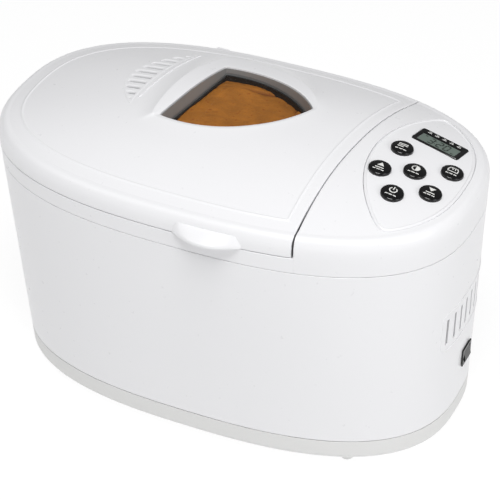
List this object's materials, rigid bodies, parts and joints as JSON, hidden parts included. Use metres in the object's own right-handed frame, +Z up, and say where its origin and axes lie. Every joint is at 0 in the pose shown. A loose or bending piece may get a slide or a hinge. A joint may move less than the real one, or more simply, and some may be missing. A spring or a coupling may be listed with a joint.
{
  "type": "bread machine",
  "caption": "Countertop bread machine: oval white housing, hinged domed lid with viewing window, sloping control console, lift-out pan, kneading paddles and belt drive.",
  "frame": {"origin": "on the ground, under the middle of the object's box", "axes": "+X towards the control console, -Y towards the front with the lid grip, +Z up"},
  "size_m": [0.4493, 0.299, 0.2733],
  "materials": {
    "white_abs": "gloss white moulded ABS",
    "base_abs": "satin warm white moulded ABS",
    "grey_frame": "fine textured grey moulding",
    "black_gloss": "gloss black moulding with white print",
    "display": "grey-green liquid crystal display",
    "window_glass": "clear heat-proof glass",
    "chamber_steel": "aluminised sheet steel",
    "wire_steel": "bright wire and turned steel",
    "pan_coating": "dark non-stick coating on cast aluminium",
    "rubber": "black moulded rubber",
    "board": "green printed circuit board",
    "brass": "turned brass",
    "drive_plastic": "dark grey moulded nylon"
  },
  "bodies": {
    "housing": {"baking_chamber": "chamber_steel", "base_tray": "base_abs", "chassis": "chamber_steel", "control_board": "board", "control_panel": "white_abs", "cord_gland": "black_gloss", "display_bezel": "black_gloss", "display_screen": "display", "drive_belt": "rubber", "foot_front_left": "rubber", "foot_front_right": "rubber", "foot_rear_left": "rubber", "foot_rear_right": "rubber", "heating_element": "wire_steel", "hinge_bracket_left": "white_abs", "hinge_bracket_right": "white_abs", "link_belt": "rubber", "motor_capacitor": "drive_plastic", "motor_housing": "chamber_steel", "outer_body": "white_abs", "pan_clip_front": "chamber_steel", "pan_clip_rear": "chamber_steel", "power_board": "board", "shaft_bearing_left": "brass", "shaft_bearing_right": "brass", "switch_frame": "black_gloss", "temperature_sensor": "brass", "top_cover": "white_abs"},
    "lid": {"lid_shell": "white_abs", "lid_liner": "chamber_steel", "window_frame": "grey_frame", "window_glass": "window_glass", "lid_hinge_arm_left": "white_abs", "lid_hinge_arm_right": "white_abs"},
    "pan": {"bread_pan": "pan_coating", "pan_base_ring": "chamber_steel", "spindle_seal_left": "rubber", "spindle_seal_right": "rubber"},
    "pan_handle": {"pan_handle": "wire_steel"},
    "paddle_left": {"pan_spindle_left": "wire_steel", "kneading_paddle_left": "pan_coating"},
    "paddle_right": {"pan_spindle_right": "wire_steel", "kneading_paddle_right": "pan_coating"},
    "drive_left": {"drive_shaft_left": "wire_steel", "drive_coupler_left": "chamber_steel", "link_pulley_left": "drive_plastic"},
    "drive_right": {"drive_shaft_right": "wire_steel", "drive_coupler_right": "chamber_steel", "link_pulley_right": "drive_plastic", "drive_pulley": "drive_plastic"},
    "motor_rotor": {"motor_shaft": "wire_steel", "motor_pulley": "drive_plastic"},
    "power_rocker": {"power_rocker": "black_gloss"},
    "button_menu": {"button_menu": "black_gloss"},
    "button_time_up": {"button_time_up": "black_gloss"},
    "button_crust": {"button_crust": "black_gloss"},
    "button_start_stop": {"button_start_stop": "black_gloss"},
    "button_loaf_size": {"button_loaf_size": "black_gloss"},
    "button_time_down": {"button_time_down": "black_gloss"}
  },
  "joints": [
    {"name": "lid_hinge", "type": "hinge", "parent": "housing", "child": "lid", "pos_m": [-0.055, 0.1427, 0.232], "axis": [-1, 0, 0], "range_deg": [0, 95]},
    {"name": "pan_lift", "type": "slide", "parent": "housing", "child": "pan", "axis": [0, 0, 1], "range_m": [0, 0.006]},
    {"name": "handle_hinge", "type": "hinge", "parent": "pan", "child": "pan_handle", "pos_m": [-0.055, 0, 0.1555], "axis": [1, 0, 0], "range_deg": [0, 180]},
    {"name": "drive_right_spin", "type": "hinge", "parent": "housing", "child": "drive_right", "pos_m": [0, 0, 0.017], "axis": [0, 0, 1], "continuous": true},
    {"name": "drive_left_spin", "type": "hinge", "parent": "housing", "child": "drive_left", "pos_m": [-0.11, 0, 0.032], "axis": [0, 0, 1], "continuous": true},
    {"name": "motor_spin", "type": "hinge", "parent": "housing", "child": "motor_rotor", "pos_m": [0.16, -0.008, 0.017], "axis": [0, 0, 1], "continuous": true},
    {"name": "paddle_left_spin", "type": "hinge", "parent": "pan", "child": "paddle_left", "pos_m": [-0.11, 0, 0.08], "axis": [0, 0, 1], "continuous": true},
    {"name": "paddle_right_spin", "type": "hinge", "parent": "pan", "child": "paddle_right", "pos_m": [0, 0, 0.08], "axis": [0, 0, 1], "continuous": true},
    {"name": "power_switch", "type": "hinge", "parent": "housing", "child": "power_rocker", "pos_m": [0.21866, 0.009, 0.071], "axis": [0, 1, 0], "range_deg": [0, 24]},
    {"name": "button_menu_press", "type": "slide", "parent": "housing", "child": "button_menu", "axis": [-0.1374, -0.0224, -0.9903], "range_m": [0, 0.001], "stiffness_N_per_m": 300},
    {"name": "button_time_up_press", "type": "slide", "parent": "housing", "child": "button_time_up", "axis": [-0.1325, 0.0199, -0.991], "range_m": [0, 0.001], "stiffness_N_per_m": 300},
    {"name": "button_crust_press", "type": "slide", "parent": "housing", "child": "button_crust", "axis": [-0.1581, 0.0023, -0.9874], "range_m": [0, 0.001], "stiffness_N_per_m": 300},
    {"name": "button_start_stop_press", "type": "slide", "parent": "housing", "child": "button_start_stop", "axis": [-0.1486, 0.0706, -0.9864], "range_m": [0, 0.001], "stiffness_N_per_m": 300},
    {"name": "button_loaf_size_press", "type": "slide", "parent": "housing", "child": "button_loaf_size", "axis": [-0.1833, -0.0095, -0.983], "range_m": [0, 0.001], "stiffness_N_per_m": 300},
    {"name": "button_time_down_press", "type": "slide", "parent": "housing", "child": "button_time_down", "axis": [-0.1776, 0.0275, -0.9837], "range_m": [0, 0.001], "stiffness_N_per_m": 300}
  ],
  "couplings": [
    {"joint": "drive_left_spin", "follows": "drive_right_spin", "ratio": 1},
    {"joint": "paddle_left_spin", "follows": "drive_right_spin", "ratio": 1},
    {"joint": "paddle_right_spin", "follows": "drive_right_spin", "ratio": 1},
    {"joint": "motor_spin", "follows": "drive_right_spin", "ratio": 4.6}
  ]
}
